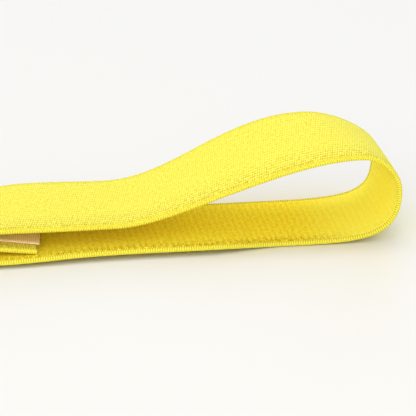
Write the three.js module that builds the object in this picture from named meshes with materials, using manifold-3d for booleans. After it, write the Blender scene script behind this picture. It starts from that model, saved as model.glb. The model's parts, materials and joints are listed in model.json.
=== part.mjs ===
// A soft tow rope handle: a loop of wide elastic webbing for the hand, sewn at its neck around a
// shorter folded strap that holds a steel D-ring for the tow rope.
// Millimetres. +X runs from the ring to the loop, +Y across the webbing, +Z up. The handle lies on
// its lower leg, and the origin is under the middle of its box.

import * as THREE from 'three';
import Module from 'manifold-3d';
import { mergeVertices } from 'three/addons/utils/BufferGeometryUtils.js';

const wasm = await Module();
wasm.setup();

// Driving dimensions
const TOTAL_LENGTH = 260;
const WEB_WIDTH = 50;
const WEB_THICK = 2;
const TAPE_WIDTH = 38;
const TAPE_THICK = 0.5;
const PLY_GAP = 0.3; // clearance between neighbouring layers
const EDGE_ROUND = 0.6; // how far the rolled edge of the webbing curves in

const NECK_LEFT = -85; // cut ends of the loop's two legs
const NECK_RIGHT = -36; // where the legs part
const LOOP_TOP = 34.4; // outer height of the loop
const LOOP_TOP_X = 108;
const LOOP_TURN_HEIGHT = 17.5; // height of the loop's outermost point
const LIFT_OFF_X = 97; // the lower leg lies flat up to here
const DIP_X = 22; // lowest place of the upper leg
const DIP_HEIGHT = 11.3;
const SHOULDER_X = -9; // highest place of the upper leg beside the neck
const SHOULDER_HEIGHT = 12.8;
const SETTLE_X = -20; // the lower leg has come down to the surface here

const STRAP_TIP_X = -1; // free end of the folded strap, inside the loop
const STRAP_TIP_HEIGHT = 3.85;
const STRAP_INNER_END_X = -39; // hidden end of the folded strap's lower layer
const TAPE_TIP_X = 0.4;
const TAPE_INNER_END_X = -84;

const WIRE_DIAMETER = 5;
const RING_INNER_WIDTH = 52;
const RING_DEPTH = 33; // bar to bow, on the wire's centre line
const RING_CORNER = 4;
const WELD_DIAMETER = 5.1;
const WELD_LENGTH = 4;
const WIRE_SIDES = 14;
const RING_STEPS = 80;

const THREAD_HEIGHT = 0.6; // a seam stands this proud of the webbing
const THREAD_WIDTH = 1;
const SEAM_INSET = 4; // from the webbing's edge to the seam
const BOX_SEAM_LEFT = -80;
const BOX_SEAM_RIGHT = -42;
const END_TACK_X = -82.6;
const THROAT_TACK_X = -38.6;
const TACK_WIDTH = 2.6;
const TACK_PITCH = 3;

// Layers in the neck, from the surface upwards: bobbin thread, lower leg, two plies of the strap,
// tape, upper leg, needle thread
const bobbinSeat = 0.1;
const lowerLeg = bobbinSeat + THREAD_HEIGHT + PLY_GAP + WEB_THICK / 2;
const lowerPly = lowerLeg + WEB_THICK + PLY_GAP;
const upperPly = lowerPly + WEB_THICK + PLY_GAP;
const tapeRise = WEB_THICK / 2 + PLY_GAP + TAPE_THICK / 2;
const upperLeg = upperPly + tapeRise + TAPE_THICK / 2 + PLY_GAP + WEB_THICK / 2;
const needleSeat = upperLeg + WEB_THICK / 2 + PLY_GAP;

const barHeight = (lowerPly + upperPly) / 2;
const bowDrop = barHeight - WIRE_DIAMETER / 2; // the bow rests on the surface
const ringTilt = Math.asin(bowDrop / RING_DEPTH);
const barX = -TOTAL_LENGTH / 2 + WIRE_DIAMETER / 2 + RING_DEPTH * Math.cos(ringTilt);
const foldRadius = WIRE_DIAMETER / 2 + PLY_GAP + 0.05 + WEB_THICK / 2;

const yellowWebbing = { color: 0xf7e84e, roughness: 0.85, metalness: 0 };
const tanTape = { color: 0xc3a060, roughness: 0.9, metalness: 0 };
const yellowThread = { color: 0xf2dc4a, roughness: 0.6, metalness: 0 };
const stainlessSteel = { color: 0xc9ccd0, roughness: 0.25, metalness: 1 };

function piece(name, geometry, finish) {
  const mesh = new THREE.Mesh(geometry, new THREE.MeshStandardMaterial(finish));
  mesh.name = name;
  return mesh;
}

// Centre line of the loop webbing, seen from the side, from the upper leg's cut end round the
// loop to the lower leg's cut end
function loopCentreLine() {
  const halfPly = WEB_THICK / 2;
  const turnX = TOTAL_LENGTH / 2 - halfPly;
  const crown = LOOP_TOP - halfPly;
  const line = new THREE.Path();
  line.moveTo(NECK_LEFT, upperLeg);
  line.lineTo(NECK_RIGHT, upperLeg);
  line.bezierCurveTo(NECK_RIGHT + 10, upperLeg, SHOULDER_X - 11, SHOULDER_HEIGHT,
    SHOULDER_X, SHOULDER_HEIGHT);
  line.bezierCurveTo(SHOULDER_X + 10, SHOULDER_HEIGHT, DIP_X - 12, DIP_HEIGHT, DIP_X, DIP_HEIGHT);
  line.bezierCurveTo(DIP_X + 32, DIP_HEIGHT, LOOP_TOP_X - 32, crown, LOOP_TOP_X, crown);
  line.bezierCurveTo(LOOP_TOP_X + 12, crown, turnX, LOOP_TURN_HEIGHT + 9, turnX, LOOP_TURN_HEIGHT);
  line.bezierCurveTo(turnX, halfPly + 3, LIFT_OFF_X + 21, halfPly, LIFT_OFF_X, halfPly);
  line.lineTo(SETTLE_X, halfPly);
  line.bezierCurveTo(SETTLE_X - 6, halfPly, NECK_RIGHT + 6, lowerLeg, NECK_RIGHT, lowerLeg);
  line.lineTo(NECK_LEFT, lowerLeg);
  return line.getPoints(16);
}

// Upper layer of the folded strap from its free tip to the neck's left end, raised by `rise`
function strapUpperLine(line, tipX, rise) {
  line.moveTo(tipX, STRAP_TIP_HEIGHT + rise);
  line.bezierCurveTo(tipX - 12, STRAP_TIP_HEIGHT + 1.4 + rise, NECK_RIGHT + 14, upperPly + rise,
    NECK_RIGHT, upperPly + rise);
}

function strapCentreLine() {
  const line = new THREE.Path();
  strapUpperLine(line, STRAP_TIP_X, 0);
  line.lineTo(NECK_LEFT, upperPly);
  line.bezierCurveTo(NECK_LEFT - 4, upperPly, barX + 4, barHeight + foldRadius,
    barX, barHeight + foldRadius);
  line.absarc(barX, barHeight, foldRadius, Math.PI / 2, Math.PI * 1.5, false);
  line.bezierCurveTo(barX + 4, barHeight - foldRadius, NECK_LEFT - 4, lowerPly,
    NECK_LEFT, lowerPly);
  line.lineTo(STRAP_INNER_END_X, lowerPly);
  return line.getPoints(10);
}

function tapeCentreLine() {
  const line = new THREE.Path();
  strapUpperLine(line, TAPE_TIP_X, tapeRise);
  line.lineTo(TAPE_INNER_END_X, upperPly + tapeRise);
  return line.getPoints(10);
}

// One side of a centre line, moved sideways by `distance` at right angles to it
function besideLine(points, distance) {
  return points.map((point, i) => {
    const before = points[Math.max(i - 1, 0)];
    const after = points[Math.min(i + 1, points.length - 1)];
    const inward = point.clone().sub(before).normalize();
    const outward = after.clone().sub(point).normalize();
    const along = inward.add(outward).normalize();
    return new THREE.Vector2(point.x - along.y * distance, point.y + along.x * distance);
  });
}

// A web of the given width that follows a centre line, with rounded long edges
function webGeometry(points, thick, width, round) {
  const outline = [
    ...besideLine(points, thick / 2),
    ...besideLine(points, -thick / 2).reverse(),
  ];
  const depth = width - 2 * round;
  const geometry = new THREE.ExtrudeGeometry(new THREE.Shape(outline), {
    depth,
    bevelEnabled: true,
    bevelThickness: round,
    bevelSize: round / 2,
    bevelOffset: -round / 2,
    bevelSegments: 2,
  });
  geometry.rotateX(Math.PI / 2);
  geometry.translate(0, depth / 2, 0);
  return geometry;
}

function toSolid(geometry) {
  geometry.deleteAttribute('normal');
  geometry.deleteAttribute('uv');
  const merged = mergeVertices(geometry, 1e-4);
  return new wasm.Manifold(new wasm.Mesh({
    numProp: 3,
    vertProperties: new Float32Array(merged.attributes.position.array),
    triVerts: new Uint32Array(merged.index.array),
  }));
}

function toGeometry(solid) {
  const mesh = solid.getMesh();
  const geometry = new THREE.BufferGeometry();
  geometry.setAttribute('position', new THREE.BufferAttribute(mesh.vertProperties, 3));
  geometry.setIndex(new THREE.BufferAttribute(mesh.triVerts, 1));
  geometry.computeVertexNormals();
  return geometry;
}

function joined(geometries) {
  const solids = geometries.map(toSolid);
  return toGeometry(solids.reduce((whole, part) => whole.add(part)));
}

// The D-ring's wire, bent from the middle of its bar round the bow and back, and the weld that
// closes it. It lies in the XY plane with the bar's centre at the origin and the bow towards -X.
function ringGeometry() {
  const halfWidth = (RING_INNER_WIDTH + WIRE_DIAMETER) / 2;
  const sideEnd = -(RING_DEPTH - halfWidth);
  const start = WELD_LENGTH / 8;
  const bend = new THREE.Path();
  bend.moveTo(0, start);
  bend.lineTo(0, halfWidth - RING_CORNER);
  bend.absarc(-RING_CORNER, halfWidth - RING_CORNER, RING_CORNER, 0, Math.PI / 2, false);
  bend.lineTo(sideEnd, halfWidth);
  bend.absarc(sideEnd, 0, halfWidth, Math.PI / 2, Math.PI * 1.5, false);
  bend.lineTo(-RING_CORNER, -halfWidth);
  bend.absarc(-RING_CORNER, RING_CORNER - halfWidth, RING_CORNER, -Math.PI / 2, 0, false);
  bend.lineTo(0, -start);
  const corners = bend.getPoints(14).map((p) => new THREE.Vector3(p.x, p.y, 0));
  const route = new THREE.CurvePath();
  corners.slice(1).forEach((corner, i) => route.add(new THREE.LineCurve3(corners[i], corner)));
  const section = new THREE.Shape().absarc(0, 0, WIRE_DIAMETER / 2, 0, Math.PI * 2, false);
  const wire = new THREE.ExtrudeGeometry(section, {
    extrudePath: route,
    steps: RING_STEPS,
    curveSegments: WIRE_SIDES / 2,
  });
  const weldRadius = WELD_DIAMETER / 2;
  const weld = new THREE.CylinderGeometry(weldRadius, weldRadius, WELD_LENGTH, WIRE_SIDES);
  return joined([wire, weld]);
}

// A rectangle of stitching with a cross inside it, as one outline with four three-cornered holes
function boxSeamGeometry() {
  const halfLength = (BOX_SEAM_RIGHT - BOX_SEAM_LEFT) / 2;
  const halfWidth = WEB_WIDTH / 2 - SEAM_INSET;
  const halfThread = THREAD_WIDTH / 2;
  const slope = halfWidth / halfLength;
  const lean = Math.atan(slope);
  const insideX = halfLength - halfThread;
  const insideY = halfWidth - halfThread;
  const tipX = halfThread / Math.sin(lean);
  const tipY = halfThread / Math.cos(lean);
  const baseX = (insideY - tipY) / slope;
  const baseY = (insideX - tipX) * slope;
  const outX = halfLength + halfThread;
  const outY = halfWidth + halfThread;
  const corners = (...pairs) => pairs.map(([x, y]) => new THREE.Vector2(x, y));
  const outline = corners([-outX, -outY], [outX, -outY], [outX, outY], [-outX, outY]);
  const shape = new THREE.Shape(outline);
  for (const side of [1, -1]) {
    const across = corners([-baseX, side * insideY], [baseX, side * insideY], [0, side * tipY]);
    const along = corners([side * insideX, -baseY], [side * insideX, baseY], [side * tipX, 0]);
    shape.holes.push(new THREE.Path(across), new THREE.Path(along));
  }
  const seam = new THREE.ExtrudeGeometry(shape, { depth: THREAD_HEIGHT, bevelEnabled: false });
  seam.translate((BOX_SEAM_LEFT + BOX_SEAM_RIGHT) / 2, 0, 0);
  return seam;
}

// A bar tack across the webbing: one band of close zigzag stitching
function tackGeometry(x) {
  const half = WEB_WIDTH / 2 - SEAM_INSET;
  const count = Math.round((2 * half) / TACK_PITCH);
  const reach = (TACK_WIDTH - THREAD_WIDTH) / 2;
  const zigzag = Array.from({ length: count + 1 }, (_, i) => {
    const side = i % 2 === 0 ? -reach : reach;
    return new THREE.Vector2(x + side, -half + (2 * half * i) / count);
  });
  const outline = [
    ...zigzag.map((p) => new THREE.Vector2(p.x - THREAD_WIDTH / 2, p.y)),
    ...zigzag.map((p) => new THREE.Vector2(p.x + THREAD_WIDTH / 2, p.y)).reverse(),
  ];
  return new THREE.ExtrudeGeometry(new THREE.Shape(outline), {
    depth: THREAD_HEIGHT,
    bevelEnabled: false,
  });
}

const handle = new THREE.Group();
handle.add(piece(
  'grip_band',
  webGeometry(loopCentreLine(), WEB_THICK, WEB_WIDTH, EDGE_ROUND),
  yellowWebbing,
));
handle.add(piece(
  'ring_strap',
  webGeometry(strapCentreLine(), WEB_THICK, WEB_WIDTH, EDGE_ROUND),
  yellowWebbing,
));
handle.add(piece(
  'tan_tape',
  webGeometry(tapeCentreLine(), TAPE_THICK, TAPE_WIDTH, TAPE_THICK / 4),
  tanTape,
));

// Each seam has a needle thread on the upper leg and a bobbin thread under the lower leg
for (const [thread, seat] of [['needle', needleSeat], ['bobbin', bobbinSeat]]) {
  const seams = [
    piece(`box_seam_${thread}_thread`, boxSeamGeometry(), yellowThread),
    piece(`throat_tack_${thread}_thread`, tackGeometry(THROAT_TACK_X), yellowThread),
    piece(`end_tack_${thread}_thread`, tackGeometry(END_TACK_X), yellowThread),
  ];
  for (const seam of seams) {
    seam.position.z = seat;
    handle.add(seam);
  }
}

const ring = new THREE.Group();
ring.position.set(barX, 0, barHeight);
ring.rotation.y = -ringTilt;
ring.add(piece('d_ring', ringGeometry(), stainlessSteel));

const group = new THREE.Group();
group.add(handle, ring);

export default group;
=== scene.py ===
import json
import math

import bmesh
import bpy
from mathutils import Matrix, Vector, noise
from mathutils.geometry import interpolate_bezier


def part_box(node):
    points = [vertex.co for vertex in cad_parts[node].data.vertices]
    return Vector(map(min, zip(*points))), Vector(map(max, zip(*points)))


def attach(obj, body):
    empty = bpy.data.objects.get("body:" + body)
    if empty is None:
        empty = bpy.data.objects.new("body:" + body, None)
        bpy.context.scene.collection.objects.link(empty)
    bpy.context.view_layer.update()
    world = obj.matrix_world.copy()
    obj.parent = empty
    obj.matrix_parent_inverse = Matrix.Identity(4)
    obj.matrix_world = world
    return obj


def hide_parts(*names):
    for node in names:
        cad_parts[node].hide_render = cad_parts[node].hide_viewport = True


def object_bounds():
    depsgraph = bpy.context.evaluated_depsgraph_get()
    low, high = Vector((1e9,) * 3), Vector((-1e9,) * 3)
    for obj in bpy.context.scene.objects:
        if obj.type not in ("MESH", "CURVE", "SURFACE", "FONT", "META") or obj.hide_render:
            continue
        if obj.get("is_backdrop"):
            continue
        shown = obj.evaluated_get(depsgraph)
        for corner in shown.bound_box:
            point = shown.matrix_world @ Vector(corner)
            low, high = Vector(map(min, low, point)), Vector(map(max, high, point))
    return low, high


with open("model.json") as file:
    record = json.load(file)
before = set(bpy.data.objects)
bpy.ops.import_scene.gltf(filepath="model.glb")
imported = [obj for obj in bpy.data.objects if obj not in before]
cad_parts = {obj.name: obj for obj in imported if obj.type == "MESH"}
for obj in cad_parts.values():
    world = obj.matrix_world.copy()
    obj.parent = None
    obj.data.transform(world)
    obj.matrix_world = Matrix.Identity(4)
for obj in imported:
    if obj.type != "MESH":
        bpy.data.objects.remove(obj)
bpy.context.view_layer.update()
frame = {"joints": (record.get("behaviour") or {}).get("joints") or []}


# ---- Camera, floor and light ----------------------------------------------------------------
# The handle lies on a pale, seamless table top. A soft box behind and above it throws short
# shadows towards the camera, a wide one and a low warm one beside the camera light the inside
# of the loop, and the white room fills in the rest.

MM = 0.001
scene = bpy.context.scene

CAMERA_TARGET = Vector((60, -21, 14.8)) * MM
CAMERA_DISTANCE = 1065 * MM
CAMERA_AZIMUTH = math.radians(-9.1)
CAMERA_ELEVATION = math.radians(17.6)
CAMERA_LENS = 260
FIRST_COLOUR, SECOND_COLOUR = 6, 7  # the inputs of a Mix node that take colours


def facing(azimuth, elevation):
    """The direction from the object to something that stands at this azimuth and elevation."""
    level = math.cos(elevation)
    return Vector((math.sin(azimuth) * level, -math.cos(azimuth) * level, math.sin(elevation)))


def linear(hex_colour):
    """An sRGB hex colour as the linear colour that a shader socket takes."""
    channels = [int(hex_colour[i:i + 2], 16) / 255 for i in (1, 3, 5)]
    levels = [c / 12.92 if c <= 0.04045 else ((c + 0.055) / 1.055) ** 2.4 for c in channels]
    return (*levels, 1.0)


def add_node(tree, kind, inputs=None, **settings):
    """Adds a node with its settings.

    Each input takes a value, a node's output, or a node, which stands for its first live output."""
    node = tree.nodes.new(kind)
    for name, value in settings.items():
        setattr(node, name, value)
    for socket, value in (inputs or {}).items():
        if isinstance(value, bpy.types.Node):
            value = next(output for output in value.outputs if output.enabled)
        if isinstance(value, bpy.types.NodeSocket):
            tree.links.new(value, node.inputs[socket])
        else:
            node.inputs[socket].default_value = value
    return node


def new_material(name):
    """A material with an empty node tree, and that tree."""
    material = bpy.data.materials.new(name)
    material.use_nodes = True
    material.node_tree.nodes.clear()
    return material, material.node_tree


def new_piece(name, shape, materials, smooth=True):
    """Turns a bmesh into an object named for its piece."""
    mesh = bpy.data.meshes.new(name)
    shape.to_mesh(mesh)
    shape.free()
    for material in materials:
        mesh.materials.append(material)
    mesh.polygons.foreach_set("use_smooth", [smooth] * len(mesh.polygons))
    piece = bpy.data.objects.new(name, mesh)
    scene.collection.objects.link(piece)
    return piece


back = facing(CAMERA_AZIMUTH, CAMERA_ELEVATION)
camera = bpy.data.objects.new("camera", bpy.data.cameras.new("camera"))
camera.data.lens = CAMERA_LENS
camera.data.sensor_width = 36
camera.data.clip_start = 0.05
camera.data.clip_end = 20
camera.location = CAMERA_TARGET + back * CAMERA_DISTANCE
camera.rotation_euler = (-back).to_track_quat("-Z", "Y").to_euler()
scene.collection.objects.link(camera)
scene.camera = camera
scene.view_settings.view_transform = "Standard"

room = bpy.data.worlds.new("white_room")
room.use_nodes = True
room.node_tree.nodes["Background"].inputs["Color"].default_value = linear("#FBFCFF")
room.node_tree.nodes["Background"].inputs["Strength"].default_value = 0.94
scene.world = room

LIT_SPOT = Vector((40, 0, 10)) * MM


def add_soft_box(name, azimuth, elevation, size, distance, power, colour):
    """A square soft box that faces the handle from this azimuth and elevation."""
    light = bpy.data.lights.new(name, "AREA")
    light.shape = "SQUARE"
    light.size = size
    light.energy = power
    light.color = linear(colour)[:3]
    box = bpy.data.objects.new(name, light)
    way = facing(math.radians(azimuth), math.radians(elevation))
    box.location = LIT_SPOT + way * distance
    box.rotation_euler = (-way).to_track_quat("-Z", "Y").to_euler()
    scene.collection.objects.link(box)


add_soft_box("key_behind", azimuth=172, elevation=74, size=1.0, distance=2.2, power=8.5,
             colour="#FFFBF0")
add_soft_box("fill_beside_camera", azimuth=-28, elevation=28, size=1.8, distance=2.6, power=10.5,
             colour="#FFFFFF")
add_soft_box("low_warm_fill", azimuth=-16, elevation=9, size=1.0, distance=2.0, power=21,
             colour="#FFE3A2")

# Satin white laminate: hardly any grain, a faint unevenness of tone, and a blurred reflection
TONE_PATCH = 170 * MM
laminate, tree = new_material("satin_white_laminate")
place = add_node(tree, "ShaderNodeTexCoord")
mottle = add_node(tree, "ShaderNodeTexNoise", {
    "Vector": place.outputs["Object"], "Scale": 1 / TONE_PATCH})
tone = add_node(tree, "ShaderNodeMix", {
    "Factor": mottle, FIRST_COLOUR: linear("#E6E6E4"), SECOND_COLOUR: linear("#E8E8E6")},
    data_type="RGBA")
shader = add_node(tree, "ShaderNodeBsdfPrincipled", {"Base Color": tone, "Roughness": 0.42})
add_node(tree, "ShaderNodeOutputMaterial", {"Surface": shader})

FLOOR_SIZE = 8
floor_shape = bmesh.new()
bmesh.ops.create_grid(floor_shape, x_segments=1, y_segments=1, size=FLOOR_SIZE / 2)
floor = new_piece("table_top", floor_shape, [laminate], smooth=False)
floor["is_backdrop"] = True


# ---- D-ring ---------------------------------------------------------------------------------
# Stainless steel wire, bent round a die into a D and butt welded in the middle of its straight
# bar. The bow rests on the table, so the ring leans down a little from its bar.

WIRE_RADIUS = 2.5 * MM
RING_HALF_WIDTH = 28.5 * MM
RING_DEPTH = 33 * MM
RING_CORNER = 4 * MM
BAR_CENTRE = Vector(frame["joints"][0]["pos_m"])
RING_TILT = math.asin((BAR_CENTRE.z - WIRE_RADIUS) / RING_DEPTH)
WIRE_SIDES = 28
CORNER_STEPS = 12
BOW_STEPS = 72

ring_shape = bmesh.new()
cut_end = bmesh.ops.create_circle(
    ring_shape, segments=WIRE_SIDES, radius=WIRE_RADIUS,
    matrix=Matrix.Rotation(math.pi / 2, 4, "X"))
section = list(dict.fromkeys(edge for vert in cut_end["verts"] for edge in vert.link_edges))


def draw_wire(edges, way):
    """Draws the wire on in a straight line."""
    drawn = bmesh.ops.extrude_edge_only(ring_shape, edges=edges)["geom"]
    moved = [part for part in drawn if isinstance(part, bmesh.types.BMVert)]
    bmesh.ops.translate(ring_shape, verts=moved, vec=way)
    return [part for part in drawn if isinstance(part, bmesh.types.BMEdge)
            and all(end in moved for end in part.verts)]


def bend_wire(edges, centre, angle, steps):
    """Bends the wire on round a centre, in the ring's plane."""
    bent = bmesh.ops.spin(ring_shape, geom=edges, cent=centre, axis=(0, 0, 1), angle=angle,
                          steps=steps, use_merge=False)["geom_last"]
    return [part for part in bent if isinstance(part, bmesh.types.BMEdge)]


# The wire goes once round the D, from the middle of the bar back to where it is welded
half_bar = RING_HALF_WIDTH - RING_CORNER
side_end = RING_HALF_WIDTH - RING_DEPTH
side = Vector((side_end + RING_CORNER, 0, 0))
section = draw_wire(section, (0, half_bar, 0))
section = bend_wire(section, (-RING_CORNER, half_bar, 0), math.pi / 2, CORNER_STEPS)
section = draw_wire(section, side)
section = bend_wire(section, (side_end, 0, 0), math.pi, BOW_STEPS)
section = draw_wire(section, -side)
section = bend_wire(section, (-RING_CORNER, -half_bar, 0), math.pi / 2, CORNER_STEPS)
section = draw_wire(section, (0, half_bar, 0))
bmesh.ops.remove_doubles(ring_shape, verts=ring_shape.verts, dist=0.01 * MM)
bmesh.ops.recalc_face_normals(ring_shape, faces=ring_shape.faces)
bmesh.ops.rotate(ring_shape, verts=ring_shape.verts, cent=(0, 0, 0),
                 matrix=Matrix.Rotation(-RING_TILT, 3, "Y"))
bmesh.ops.translate(ring_shape, verts=ring_shape.verts, vec=BAR_CENTRE)

# Stainless steel wire, drawn and then tumbled: bright, with fine scratches every way. Real ones
# are about 0.05 mm apart, and are drawn 0.8 mm apart so that they show.
SCRATCH = 0.8 * MM
SMEAR = 8 * MM
steel, tree = new_material("tumbled_stainless_steel")
place = add_node(tree, "ShaderNodeTexCoord")
scratch = add_node(tree, "ShaderNodeTexNoise", {
    "Vector": place.outputs["Object"], "Scale": 1 / SCRATCH, "Detail": 4.0, "Distortion": 1.5})
smear = add_node(tree, "ShaderNodeTexNoise", {
    "Vector": place.outputs["Object"], "Scale": 1 / SMEAR, "Detail": 2.0})
gloss = add_node(tree, "ShaderNodeMapRange", {"Value": smear, "To Min": 0.16, "To Max": 0.34})
tone = add_node(tree, "ShaderNodeMix", {
    "Factor": smear, FIRST_COLOUR: linear("#C9CBCE"), SECOND_COLOUR: linear("#DDDEE0")},
    data_type="RGBA")
bump = add_node(tree, "ShaderNodeBump", {
    "Height": scratch, "Strength": 0.25, "Distance": 0.03 * MM})
shader = add_node(tree, "ShaderNodeBsdfPrincipled", {
    "Base Color": tone, "Metallic": 1.0, "Roughness": gloss, "Normal": bump})
add_node(tree, "ShaderNodeOutputMaterial", {"Surface": shader})

ring = new_piece("d_ring_wire", ring_shape, [steel])
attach(ring, "ring")
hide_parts("d_ring")


# ---- Yellow webbing -------------------------------------------------------------------------
# Heavy elastic webbing, 50 mm wide: a smooth woven face outside, a brushed plush face inside,
# and a rolled edge on each side where the weft turns back round a cord of rubber strands. The
# ring strap and the hand loop are both cut from it.

WEB_WIDTH = 50 * MM
WEB_HALF_THICK = 0.85 * MM
PICK = 0.87 * MM  # from one weft thread to the next along the webbing
WARP = 2.0 * MM  # from one row of warp floats to the next across it
PLUSH_RIB = 2.3 * MM  # the plush stands in low ribs across the inner face
EDGE_RADIUS = 0.93 * MM
GROOVE_WIDTH = 0.9 * MM
BODY_HALF = WEB_WIDTH / 2 - 1.55 * EDGE_RADIUS
GROOVE_DEPTH = 0.3 * MM
FACES_APART = 2 * WEB_WIDTH  # between the two faces on the UV map
BODY_STEP = 0.55 * MM
EDGE_STEP = PICK / 5
EDGE_SIDES = 12
BODY_COLUMNS = 36
UNEVEN_PATCH = 4 * MM
UNEVEN_RISE = 0.05 * MM
PLUSH_RIB_RISE = 0.09 * MM
PLUSH_TUFT_RISE = 0.06 * MM
SWAY = 3 * MM  # how far the handle bows sideways beside its neck
SWAY_X = -20 * MM
SWAY_REACH = 58 * MM
BULGE = 0.35 * MM  # how far the webbing's middle stands out beyond its edges round the turn
TURN_AT = 238 * MM  # the turn's distance along the hand loop


def sideways(x):
    """The handle lies in a slight bow, so its pieces are shifted along Y by this much."""
    share = max(-1.0, min(1.0, (x - SWAY_X) / SWAY_REACH))
    return -SWAY * math.cos(share * math.pi / 2) ** 2


def even_points(line, step, count=None):
    """Points in metres at even steps along a line in millimetres, and the line's length.

    The points are as near to one step apart as comes out even, unless a count is given."""
    points = [Vector(point) * MM for point in line]
    lengths = [(b - a).length for a, b in zip(points, points[1:])]
    whole = sum(lengths)
    count = count or max(2, round(whole / step))
    spaced, done, i = [], 0.0, 0
    for k in range(count + 1):
        at = whole * k / count
        while i < len(lengths) - 1 and done + lengths[i] < at:
            done += lengths[i]
            i += 1
        spaced.append(points[i].lerp(points[i + 1], min(1.0, (at - done) / lengths[i])))
    return spaced, whole


def outward(points):
    """The direction out of a web's smooth face at each point of one of its edge lines."""
    ways = [b - a for a, b in zip(points[:1] + points[:-1], points[1:] + points[-1:])]
    return [way.cross(Vector((0, 1, 0))).normalized() for way in ways]


def web_rows(near_line, far_line, step):
    """Rows across a web between its two edge lines.

    Each row holds both edges' points and outward directions, and the distance along the web."""
    near, length = even_points(near_line, step)
    far, far_length = even_points(far_line, step, len(near) - 1)
    whole = (length + far_length) / 2
    distances = [whole * i / (len(near) - 1) for i in range(len(near))]
    return list(zip(near, far, outward(near), outward(far), distances)), whole


def on_web(row, across, height):
    """The point of a web in one row, at a place across it and a height above its middle plane."""
    near, far, near_up, far_up, _ = row
    share = across / WEB_WIDTH + 0.5
    up = near_up.lerp(far_up, share)
    bulge = BULGE * max(0.0, up.x) * (1 - (2 * share - 1) ** 2)
    point = near.lerp(far, share) + up * (height + bulge)
    return point + Vector((0, across + sideways(point.x), 0))


def sweep(rows, sides, place):
    """A closed tube with one ring of points a row.

    place(row, k) gives a point of the ring, its UV and its material."""
    shape = bmesh.new()
    bmesh.ops.create_grid(shape, x_segments=len(rows) - 1, y_segments=sides, size=0.5)
    uv_layer = shape.loops.layers.uv.new("weave")
    spots = {}
    for vert in shape.verts:
        i = round((vert.co.x + 0.5) * (len(rows) - 1))
        k = round((vert.co.y + 0.5) * sides)
        spots[vert] = (i, k)
    for face in shape.faces:
        first_row = rows[spots[face.verts[0]][0]]
        first_place = min(spots[vert][1] for vert in face.verts)
        face.material_index = place(first_row, first_place)[2]
        for loop in face.loops:
            i, k = spots[loop.vert]
            loop[uv_layer].uv = place(rows[i], k)[1]
    for vert, (i, k) in spots.items():
        vert.co = place(rows[i], k % sides)[0]
    bmesh.ops.remove_doubles(shape, verts=shape.verts, dist=0.001 * MM)
    rims = [edge for edge in shape.edges if edge.is_boundary]
    bmesh.ops.holes_fill(shape, edges=rims, sides=0)
    bmesh.ops.recalc_face_normals(shape, faces=shape.faces)
    return shape


def face_height(across):
    """Half the webbing's thickness: level, but drawn in to a groove beside each rolled edge."""
    to_edge = BODY_HALF - abs(across)
    drawn_in = max(0.0, 1 - to_edge / GROOVE_WIDTH)
    return WEB_HALF_THICK - GROOVE_DEPTH * drawn_in ** 2


# The body's ring of points: across the smooth face, then back across the plush face, and
# closer together beside the edges, where the grooves are
even_steps = [2 * i / BODY_COLUMNS - 1 for i in range(BODY_COLUMNS + 1)]
across_steps = [(0.65 * s + 0.35 * math.sin(math.pi / 2 * s)) * BODY_HALF for s in even_steps]
body_ring = [(s, 1) for s in across_steps] + [(s, -1) for s in reversed(across_steps)]


def body_place(row, k):
    """The place function of a webbing body: the smooth face outside, the ribbed plush inside.

    The ribs aren't quite straight, because the noise shifts them a little."""
    across, side = body_ring[k % len(body_ring)]
    distance = row[4]
    # The two faces are far apart in the noise, so that each is uneven in its own way
    spot = Vector((distance, across, side * 0.1)) / UNEVEN_PATCH
    unevenness = noise.noise(spot)
    relief = UNEVEN_RISE * unevenness
    if side < 0:
        rib = math.sin(2 * math.pi * distance / PLUSH_RIB + 1.2 * unevenness)
        relief += PLUSH_RIB_RISE * rib
        relief += PLUSH_TUFT_RISE * noise.noise(spot * 6)
    height = face_height(across) + relief
    uv = (distance, across + (0 if side > 0 else FACES_APART))
    return on_web(row, across, side * height), uv, 0 if side > 0 else 1


def edge_place(side):
    """The place function of a rolled edge, with a rib for each pick on its plush side."""
    centre = side * (WEB_WIDTH / 2 - EDGE_RADIUS)

    def place(row, k):
        angle = 2 * math.pi * k / EDGE_SIDES
        slant = 0.5 * math.sin(angle)
        plush_side = 0.5 - 0.5 * math.sin(angle)
        rib = plush_side * abs(math.cos(math.pi * row[4] / PICK + slant))
        wobble = noise.noise(Vector((row[4], side * MM, angle * 0.3 * MM)) / (2.5 * MM))
        radius = EDGE_RADIUS * (0.95 + 0.08 * rib + 0.05 * wobble)
        across = centre + radius * math.cos(angle)
        return on_web(row, across, radius * math.sin(angle)), (row[4], EDGE_RADIUS * angle), 0
    return place


def weave_map(tree, uv_offset):
    """The weave's UV map, the distance along the web on it, and the place across the web."""
    coords = add_node(tree, "ShaderNodeUVMap", uv_map="weave")
    parts = add_node(tree, "ShaderNodeSeparateXYZ", {"Vector": coords})
    across = add_node(tree, "ShaderNodeMath", {0: parts.outputs["Y"], 1: uv_offset},
                      operation="SUBTRACT")
    return coords, parts.outputs["X"], across


def wave(tree, value, length, shift=0.0):
    """A sine wave of this length along a value. The shift is in radians, or a node."""
    phase = add_node(tree, "ShaderNodeMath", {0: value, 1: 2 * math.pi / length, 2: shift},
                     operation="MULTIPLY_ADD")
    return add_node(tree, "ShaderNodeMath", {0: phase}, operation="SINE")


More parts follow.
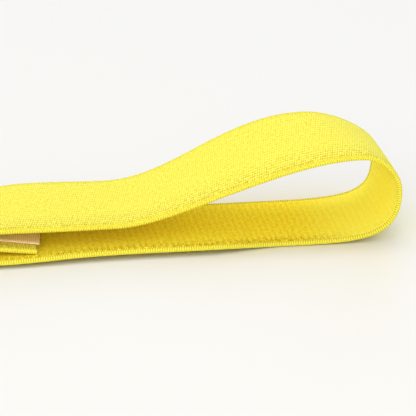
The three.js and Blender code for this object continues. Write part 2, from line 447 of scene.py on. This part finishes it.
def groove_hole_shade(tree, along, across, uv):
    """1 in the small holes between the weft's turns, in the groove beside the near rolled edge,
    where painted shade darkens the holes.

    Only the groove beside the near edge gets them."""
    in_groove = add_node(tree, "ShaderNodeMapRange", {
        "Value": across, "From Min": 2.6 * MM - BODY_HALF, "From Max": 1.4 * MM - BODY_HALF},
        interpolation_type="SMOOTHSTEP")
    drift = add_node(tree, "ShaderNodeTexNoise", {
        "Vector": uv, "Scale": 1 / (1.6 * MM), "Detail": 3.0})
    jitter = add_node(tree, "ShaderNodeMath", {0: drift, 1: 5.0}, operation="MULTIPLY")
    between_turns = add_node(tree, "ShaderNodeMapRange", {
        "Value": wave(tree, along, PICK, jitter), "From Min": -0.1, "From Max": 0.6},
        interpolation_type="SMOOTHSTEP")
    openness = add_node(tree, "ShaderNodeTexNoise", {
        "Vector": uv, "Scale": 1 / (2.4 * MM), "Detail": 3.0})
    patchy = add_node(tree, "ShaderNodeMapRange", {
        "Value": openness, "From Min": 0.35, "From Max": 0.6}, interpolation_type="SMOOTHSTEP")
    holes = add_node(tree, "ShaderNodeMath", {0: in_groove, 1: between_turns},
                     operation="MULTIPLY")
    return add_node(tree, "ShaderNodeMath", {0: holes, 1: patchy}, operation="MULTIPLY")


def low_spot_shade(tree, across, height, reach, below):
    """1 where the weave lies below this height beside the near edge, where painted shade darkens
    its low spots.
    """
    beside_edge = add_node(tree, "ShaderNodeMapRange", {
        "Value": across, "From Min": reach - BODY_HALF, "From Max": 1.5 * MM - BODY_HALF},
        interpolation_type="SMOOTHSTEP")
    low_spots = add_node(tree, "ShaderNodeMapRange", {
        "Value": height, "From Min": below, "From Max": below - 0.26},
        interpolation_type="SMOOTHSTEP")
    return add_node(tree, "ShaderNodeMath", {0: beside_edge, 1: low_spots}, operation="MULTIPLY")


def shade_openings(tree, colour, openings):
    """A colour with the weave's openings shaded. Each has its place, its strength and its hex."""
    for place, strength, shade in openings:
        share = add_node(tree, "ShaderNodeMath", {0: place, 1: strength}, operation="MULTIPLY")
        colour = add_node(tree, "ShaderNodeMix", {
            "Factor": share, FIRST_COLOUR: colour, SECOND_COLOUR: linear(shade)},
            data_type="RGBA")
    return colour


def cloth(tree, colour, height, relief, settings=None):
    """A woven surface with this relief: matt, with a thin soft sheen from its fibre ends."""
    bump = add_node(tree, "ShaderNodeBump", {"Height": height, "Strength": 1.0, "Distance": relief})
    inputs = {"Base Color": colour, "Roughness": 0.85, "Specular IOR Level": 0.2,
              "Sheen Weight": 0.05, "Sheen Roughness": 0.5, "Normal": bump}
    inputs.update(settings or {})
    shader = add_node(tree, "ShaderNodeBsdfPrincipled", inputs)
    add_node(tree, "ShaderNodeOutputMaterial", {"Surface": shader})


# Single fibres are about 0.02 mm thick, too fine to show, so tufts of them are drawn instead.
# On both faces the tufts are longer across the web, as the weft's floats are.
FACE_TUFT = 0.9 * MM
PLUSH_TUFT = 0.85 * MM
EDGE_TUFT = 0.5 * MM
ACROSS_THE_WEB = (1.0, 0.38, 1.0)


def twill_face_material():
    # Woven polyester over rubber: matt, lemon yellow, with tiny shaded gaps between the floats
    material, tree = new_material("lemon_twill_face")
    uv, along, across = weave_map(tree, 0.0)
    half_turn = add_node(tree, "ShaderNodeMath", {0: across, 1: -math.pi / WARP},
                         operation="MULTIPLY")
    diagonals = wave(tree, along, PICK, half_turn)
    rows = wave(tree, across, WARP)
    weave = add_node(tree, "ShaderNodeMath", {0: diagonals, 1: rows}, operation="ADD")
    drawn_out = add_node(tree, "ShaderNodeVectorMath", {0: uv, 1: ACROSS_THE_WEB},
                         operation="MULTIPLY")
    fibre = add_node(tree, "ShaderNodeTexNoise", {
        "Vector": drawn_out, "Scale": 1 / FACE_TUFT, "Detail": 4.0, "Roughness": 0.65})
    height = add_node(tree, "ShaderNodeMath", {0: weave, 1: 0.1, 2: fibre},
                      operation="MULTIPLY_ADD")
    raised = add_node(tree, "ShaderNodeMapRange", {
        "Value": height, "From Min": 0.28, "From Max": 0.6}, interpolation_type="SMOOTHSTEP")
    floats = add_node(tree, "ShaderNodeMix", {
        "Factor": raised, FIRST_COLOUR: linear("#DACA24"), SECOND_COLOUR: linear("#F2EE58")},
        data_type="RGBA")
    dye_patch = add_node(tree, "ShaderNodeTexNoise", {
        "Vector": uv, "Scale": 1 / (9 * MM), "Detail": 3.0})
    dyed = add_node(tree, "ShaderNodeMapRange", {
        "Value": dye_patch, "From Min": 0.35, "From Max": 0.65, "To Max": 0.35},
        interpolation_type="SMOOTHSTEP")
    toned = add_node(tree, "ShaderNodeMix", {
        "Factor": dyed, FIRST_COLOUR: floats, SECOND_COLOUR: linear("#EBE24A")},
        data_type="RGBA")
    # Painted shade: beside the near edge the weave's low spots and the holes in the groove are
    # darkened, for the shade under the tape and in the weave
    gaps = low_spot_shade(tree, across, height, reach=16 * MM, below=0.56)
    holes = groove_hole_shade(tree, along, across, uv)
    colour = shade_openings(tree, toned, [(gaps, 0.6, "#BCA00A"), (holes, 0.7, "#C4A60C")])
    cloth(tree, colour, height, 0.25 * MM)
    return material


def plush_face_material():
    # Brushed loops of the same yarn: deeper yellow, because light is lost between the fibres
    material, tree = new_material("brushed_plush_face")
    uv, along, across = weave_map(tree, FACES_APART)
    drawn_out = add_node(tree, "ShaderNodeVectorMath", {0: uv, 1: ACROSS_THE_WEB},
                         operation="MULTIPLY")
    fuzz = add_node(tree, "ShaderNodeTexNoise", {
        "Vector": drawn_out, "Scale": 1 / PLUSH_TUFT, "Detail": 4.0, "Roughness": 0.7})
    drift = add_node(tree, "ShaderNodeTexNoise", {
        "Vector": uv, "Scale": 1 / (3 * MM), "Detail": 3.0})
    blur = add_node(tree, "ShaderNodeMath", {0: drift, 1: 6.0}, operation="MULTIPLY")
    ribs = wave(tree, along, PLUSH_RIB, blur)
    height = add_node(tree, "ShaderNodeMath", {0: ribs, 1: 0.05, 2: fuzz},
                      operation="MULTIPLY_ADD")
    raised = add_node(tree, "ShaderNodeMapRange", {
        "Value": height, "From Min": 0.32, "From Max": 0.68}, interpolation_type="SMOOTHSTEP")
    # The low spots of the ribs and loops are painted darker: painted shade
    loops = add_node(tree, "ShaderNodeMix", {
        "Factor": raised, FIRST_COLOUR: linear("#F3D51B"), SECOND_COLOUR: linear("#FFF950")},
        data_type="RGBA")
    # Painted shade: beside the near edge the plush's low spots and the groove's holes are darkened,
    # for the strap's shadow on the lower leg and the shade in the plush
    gaps = low_spot_shade(tree, across, height, reach=7 * MM, below=0.64)
    holes = groove_hole_shade(tree, along, across, uv)
    shaded = shade_openings(tree, loops, [(gaps, 0.6, "#C09208"), (holes, 0.8, "#A98608")])
    # Round the turn the plush is painted brighter: painted light, for the light that reaches the
    # inside of the turn
    from_turn = add_node(tree, "ShaderNodeMath", {0: along, 1: TURN_AT}, operation="SUBTRACT")
    away = add_node(tree, "ShaderNodeMath", {0: from_turn}, operation="ABSOLUTE")
    turn_light = add_node(tree, "ShaderNodeMapRange", {
        "Value": away, "From Min": 36 * MM, "From Max": 8 * MM, "To Max": 0.75},
        interpolation_type="SMOOTHSTEP")
    colour = add_node(tree, "ShaderNodeMix", {
        "Factor": turn_light, FIRST_COLOUR: shaded, SECOND_COLOUR: linear("#FFFC6A")},
        data_type="RGBA")
    cloth(tree, colour, height, 0.25 * MM, {"Roughness": 1.0, "Specular IOR Level": 0.05,
                                            "Sheen Weight": 0.0})
    return material


def rolled_edge_material():
    # Weft yarn wound tightly over the edge: lighter and smoother than the face beside it, and
    # with each turn plain to see on its plush side
    material, tree = new_material("rolled_weft_edge")
    uv, along, around = weave_map(tree, 0.0)
    turns = wave(tree, along, PICK, math.pi / 2)
    plush_side = add_node(tree, "ShaderNodeMapRange", {
        "Value": around, "From Min": 0.8 * math.pi * EDGE_RADIUS,
        "From Max": 1.3 * math.pi * EDGE_RADIUS, "To Max": 0.3},
        interpolation_type="SMOOTHSTEP")
    fibre = add_node(tree, "ShaderNodeTexNoise", {
        "Vector": uv, "Scale": 1 / EDGE_TUFT, "Detail": 3.0})
    height = add_node(tree, "ShaderNodeMath", {0: turns, 1: plush_side, 2: fibre},
                      operation="MULTIPLY_ADD")
    raised = add_node(tree, "ShaderNodeMapRange", {
        "Value": height, "From Min": 0.3, "From Max": 0.62}, interpolation_type="SMOOTHSTEP")
    # The dips between the turns are painted darker: painted shade
    colour = add_node(tree, "ShaderNodeMix", {
        "Factor": raised, FIRST_COLOUR: linear("#BEB020"), SECOND_COLOUR: linear("#E4E04C")},
        data_type="RGBA")
    cloth(tree, colour, fibre, 0.1 * MM)
    return material


lemon_twill = twill_face_material()
brushed_plush = plush_face_material()
rolled_edge = rolled_edge_material()


def make_webbing(name, near_line, far_line, node):
    """A length of the webbing: its body with two faces, and its two rolled edges."""
    rows, length = web_rows(near_line, far_line, BODY_STEP)
    body = new_piece(name + "_body", sweep(rows, len(body_ring), body_place),
                     [lemon_twill, brushed_plush])
    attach(body, "handle")
    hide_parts(node)
    fine_rows, _ = web_rows(near_line, far_line, EDGE_STEP)
    for side, word in ((-1, "near"), (1, "far")):
        edge = new_piece(f"{name}_{word}_edge", sweep(fine_rows, EDGE_SIDES, edge_place(side)),
                         [rolled_edge])
        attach(edge, "handle")


# ---- Ring strap -----------------------------------------------------------------------------
# A short length of the webbing, folded round the ring's bar with its smooth face out. Both
# plies run into the neck, and the upper one ends free inside the hand loop. The places on its
# line are in millimetres, as all the lines of webbing and tape below are.

NECK_LEFT = -85
NECK_RIGHT = -36
LOWER_PLY = 4.3
LOWER_PLY_END = -39
UPPER_PLY = 6.6
BAR_X = BAR_CENTRE.x / MM
BAR_Z = BAR_CENTRE.z / MM
FOLD_RADIUS = 3.75
FOLD_STEPS = 20
STRAP_TIP = (-1.8, -1.7, 4.0)


def bezier(start, start_handle, end_handle, end, count=24):
    """Points of one curved stretch after its first."""
    ends = [Vector(point) for point in (start, start_handle, end_handle, end)]
    return interpolate_bezier(*ends, count)[1:]


def upper_ply(rise, tip, shift):
    """The strap's upper ply, or the tape on it, from the neck's left end to its free tip."""
    flat = UPPER_PLY + rise
    inner, outer = (NECK_LEFT, shift, flat), (NECK_RIGHT, shift, flat)
    return [inner, outer] + bezier(outer, (NECK_RIGHT + 10, shift, flat),
                                   (tip[0] - 13, shift, tip[2] + 1.3), tip)


fold = [(BAR_X - FOLD_RADIUS * math.sin(math.pi * i / FOLD_STEPS), 0,
         BAR_Z - FOLD_RADIUS * math.cos(math.pi * i / FOLD_STEPS)) for i in range(FOLD_STEPS + 1)]
strap_line = [(LOWER_PLY_END, 0, LOWER_PLY), (NECK_LEFT, 0, LOWER_PLY)]
strap_line += bezier(strap_line[-1], (NECK_LEFT - 4, 0, LOWER_PLY),
                     (BAR_X + 4, 0, BAR_Z - FOLD_RADIUS), fold[0])
strap_line += fold[1:]
strap_line += bezier(fold[-1], (BAR_X + 4, 0, BAR_Z + FOLD_RADIUS),
                     (NECK_LEFT - 4, 0, UPPER_PLY), (NECK_LEFT, 0, UPPER_PLY))
strap_line += upper_ply(0, STRAP_TIP, 0)[1:]
make_webbing("ring_strap", strap_line, strap_line, "ring_strap")


# ---- Tan tape -------------------------------------------------------------------------------
# Narrow ribbed tape, woven flat in tan cotton with a lighter selvage, laid on the strap's upper
# ply and caught in the same seams. Its free end is cut at a slant, just past the strap's end.

TAPE_WIDTH = 38 * MM
TAPE_HALF_THICK = 0.28 * MM
TAPE_RISE = 1.25
TAPE_RIB = 0.75 * MM
TAPE_STEP = TAPE_RIB / 5
TAPE_TIP = (-1.2, -2.7, STRAP_TIP[2] + TAPE_RISE)
SLANT = 6  # the end is cut this much longer at its far edge
SELVAGE = 1.2 * MM
THIN_RIM = 0.5 * MM
TAPE_SHIFT = 1.2  # the tape lies a little off the strap's middle
TAPE_COLUMNS = 24

tape_across = [(2 * i / TAPE_COLUMNS - 1) * TAPE_WIDTH / 2 for i in range(TAPE_COLUMNS + 1)]
tape_ring = [(s, 1) for s in tape_across] + [(s, -1) for s in reversed(tape_across)]


def tape_place(row, k):
    """The place function of the tape: a low rib for each pick, and thin edges."""
    across, side = tape_ring[k % len(tape_ring)]
    rib = 0.5 + 0.5 * math.cos(2 * math.pi * row[4] / TAPE_RIB)
    rim = max(0.0, 1 - (TAPE_WIDTH / 2 - abs(across)) / THIN_RIM)
    height = TAPE_HALF_THICK * (0.8 + 0.3 * rib) * (1 - 0.6 * rim)
    return on_web(row, across, side * height), (row[4], across), 0


# Cotton grosgrain: dull, warm tan, fine ribs across it, and a pale pink-white selvage line
COTTON_TUFT = 0.7 * MM  # single fibres, about 0.02 mm thick, are too fine to show
cotton, tree = new_material("tan_cotton_grosgrain")
uv, along, across = weave_map(tree, 0.0)
fibre = add_node(tree, "ShaderNodeTexNoise", {
    "Vector": uv, "Scale": 1 / COTTON_TUFT, "Detail": 4.0, "Roughness": 0.7})
ribs = wave(tree, along, TAPE_RIB, math.pi / 2)
height = add_node(tree, "ShaderNodeMath", {0: ribs, 1: 0.15, 2: fibre}, operation="MULTIPLY_ADD")
raised = add_node(tree, "ShaderNodeMapRange", {
    "Value": height, "From Min": 0.25, "From Max": 0.7}, interpolation_type="SMOOTHSTEP")
# The furrows between the ribs are painted darker: painted shade
ribbed = add_node(tree, "ShaderNodeMix", {
    "Factor": raised, FIRST_COLOUR: linear("#F2D28C"), SECOND_COLOUR: linear("#FFF6D6")},
    data_type="RGBA")
far_out = add_node(tree, "ShaderNodeMath", {0: across}, operation="ABSOLUTE")
at_selvage = add_node(tree, "ShaderNodeMapRange", {
    "Value": far_out, "From Min": TAPE_WIDTH / 2 - SELVAGE,
    "From Max": TAPE_WIDTH / 2 - 0.7 * SELVAGE}, interpolation_type="SMOOTHSTEP")
colour = add_node(tree, "ShaderNodeMix", {
    "Factor": at_selvage, FIRST_COLOUR: ribbed, SECOND_COLOUR: linear("#EFD8C2")},
    data_type="RGBA")
cloth(tree, colour, fibre, 0.15 * MM)

tape_near = upper_ply(TAPE_RISE, TAPE_TIP, TAPE_SHIFT)
tape_far = upper_ply(TAPE_RISE, (TAPE_TIP[0] + SLANT, *TAPE_TIP[1:]), TAPE_SHIFT)
tape_rows, tape_length = web_rows(tape_near, tape_far, TAPE_STEP)
tape = new_piece("tan_tape_weave", sweep(tape_rows, len(tape_ring), tape_place), [cotton])
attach(tape, "handle")
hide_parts("tan_tape")


# ---- Hand loop ------------------------------------------------------------------------------
# The long length of webbing, folded smooth face out into a racquet-shaped loop. Its legs lie
# over and under the strap in the neck. The loop leans a little, so its two edges differ.

LOWER_LEG = 2.0
UPPER_LEG = 9.6
LYING = 1.0  # the lower leg's middle plane where the turn rests on the table
BRIDGING = 2.6  # and where it spans from the neck to the turn, just clear of the table
SEWN_ASKEW = -3.5  # how far the lower leg is out of line with the upper one in the neck
ASKEW = -5.6  # and just beside the neck
BOWED = -5.0  # and in the middle of its span
LOOP_POINTS = 36


def loop_line(shoulder, dip, crown, turn, lift_off, handles):
    """One edge of the hand loop, from the upper leg's cut end round to the lower leg's.

    The places are (x, z), apart from lift_off, the x where the lower leg leaves the table. The
    handles are how far each of the five curved stretches runs on straight at its two ends."""
    knots = [((NECK_RIGHT, UPPER_LEG), (1, 0)), (shoulder, (1, 0)), (dip, (1, 0)),
             (crown, (1, 0)), (turn, (0, -1)), ((lift_off, LYING), (-1, 0))]
    line = [(NECK_LEFT, 0, UPPER_LEG), (NECK_RIGHT, 0, UPPER_LEG)]
    for (start, way), (end, end_way), (leave, arrive) in zip(knots, knots[1:], handles):
        start_handle = (start[0] + way[0] * leave, 0, start[1] + way[1] * leave)
        end_handle = (end[0] - end_way[0] * arrive, 0, end[1] - end_way[1] * arrive)
        line += bezier((start[0], 0, start[1]), start_handle, end_handle, (end[0], 0, end[1]),
                       LOOP_POINTS)
    # The lower leg comes off the table, spans level, and swings back into line in the neck
    line += bezier(line[-1], (lift_off - 11, 0, LYING), (70, BOWED, BRIDGING),
                   (58, BOWED, BRIDGING))
    line.append((20, BOWED, BRIDGING))
    line += bezier(line[-1], (8, BOWED, BRIDGING), (-4, ASKEW, LOWER_LEG), (-14, ASKEW, LOWER_LEG))
    line += bezier(line[-1], (-21, ASKEW, LOWER_LEG), (NECK_RIGHT + 8, SEWN_ASKEW, LOWER_LEG),
                   (NECK_RIGHT, SEWN_ASKEW, LOWER_LEG))
    return line + [(NECK_LEFT, SEWN_ASKEW, LOWER_LEG)]


near_loop = loop_line(
    shoulder=(-12.5, 11.6), dip=(28, 10.7), crown=(114.5, 31.7), turn=(128.8, 18.4), lift_off=87,
    handles=((9, 9), (6.5, 20), (19.5, 28.5), (9.5, 5.5), (18, 26)))
far_loop = loop_line(
    shoulder=(-2, 13), dip=(29, 12), crown=(102.6, 35), turn=(129.7, 21), lift_off=93,
    handles=((10, 10), (13.5, 9.5), (25, 30), (12.5, 5), (16, 34)))
make_webbing("hand_loop", near_loop, far_loop, "grip_band")


# ---- Seams ----------------------------------------------------------------------------------
# Bonded polyester thread in a lock stitch: a boxed cross through all the layers of the neck,
# and a bar tack at each end of it. The needle thread shows above, the bobbin thread below.

THREAD_RADIUS = 0.34 * MM
STITCH = 3.0 * MM
TACK_STITCH_GAP = 1.0 * MM
SEAM_INSET = Vector((0.5, 0.5, 0)) * MM

# Bonded polyester thread: slightly glossy, a shade deeper than the webbing. Its plies are about
# 0.2 mm wide, and are drawn at 0.5 mm so that they show.
PLY_TWIST = 0.5 * MM
thread, tree = new_material("bonded_polyester_thread")
place = add_node(tree, "ShaderNodeTexCoord")
strand = add_node(tree, "ShaderNodeTexNoise", {
    "Vector": place.outputs["Object"], "Scale": 1 / PLY_TWIST, "Detail": 2.0})
tone = add_node(tree, "ShaderNodeMix", {
    "Factor": strand, FIRST_COLOUR: linear("#D9C233"), SECOND_COLOUR: linear("#F8EB58")},
    data_type="RGBA")
bump = add_node(tree, "ShaderNodeBump", {"Height": strand, "Strength": 0.4, "Distance": 0.08 * MM})
shader = add_node(tree, "ShaderNodeBsdfPrincipled", {
    "Base Color": tone, "Roughness": 0.5, "Specular IOR Level": 0.5, "Normal": bump})
add_node(tree, "ShaderNodeOutputMaterial", {"Surface": shader})


def add_stitch(shape, start, end, z):
    """One stitch: a bead of thread drawn down into the web at both ends."""
    start, end = Vector((*start, z)), Vector((*end, z))
    along = end - start
    bead = Matrix.Diagonal((along.length / 2, THREAD_RADIUS, THREAD_RADIUS, 1))
    turn = Matrix.Rotation(math.atan2(along.y, along.x), 4, "Z")
    bmesh.ops.create_uvsphere(shape, u_segments=10, v_segments=8, radius=1,
                              matrix=Matrix.Translation((start + end) / 2) @ turn @ bead)


def add_seam(shape, start, end, z):
    """A straight row of stitches."""
    start, end = Vector(start), Vector(end)
    count = max(1, round((end - start).length / STITCH))
    for i in range(count):
        needle_in = start.lerp(end, (i + 0.04) / count)
        needle_out = start.lerp(end, (i + 0.96) / count)
        add_stitch(shape, needle_in, needle_out, z)


for word in ("needle", "bobbin"):
    for seam in ("box_seam", "throat_tack", "end_tack"):
        node = f"{seam}_{word}_thread"
        low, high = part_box(node)
        # The needle thread is pulled a little further in than the bobbin thread
        z = high.z - 1.3 * THREAD_RADIUS if word == "needle" else low.z + THREAD_RADIUS
        low, high = low + SEAM_INSET, high - SEAM_INSET
        shape = bmesh.new()
        if seam == "box_seam":
            corners = [(low.x, low.y), (high.x, low.y), (high.x, high.y), (low.x, high.y)]
            for i in range(4):
                add_seam(shape, corners[i], corners[(i + 1) % 4], z)
            add_seam(shape, corners[0], corners[2], z)
            add_seam(shape, corners[1], corners[3], z)
        else:
            count = round((high.y - low.y) / TACK_STITCH_GAP)
            for i in range(count):
                from_y = low.y + (high.y - low.y) * i / count
                to_y = low.y + (high.y - low.y) * (i + 1) / count
                from_x, to_x = (low.x, high.x) if i % 2 == 0 else (high.x, low.x)
                add_stitch(shape, (from_x, from_y), (to_x, to_y), z)
        for vert in shape.verts:
            vert.co.y += sideways(vert.co.x)
        piece = new_piece(node + "_stitches", shape, [thread])
        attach(piece, "handle")
        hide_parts(node)


# ---- Sizes ----------------------------------------------------------------------------------
# The finished handle's box, without the table top.

low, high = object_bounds()
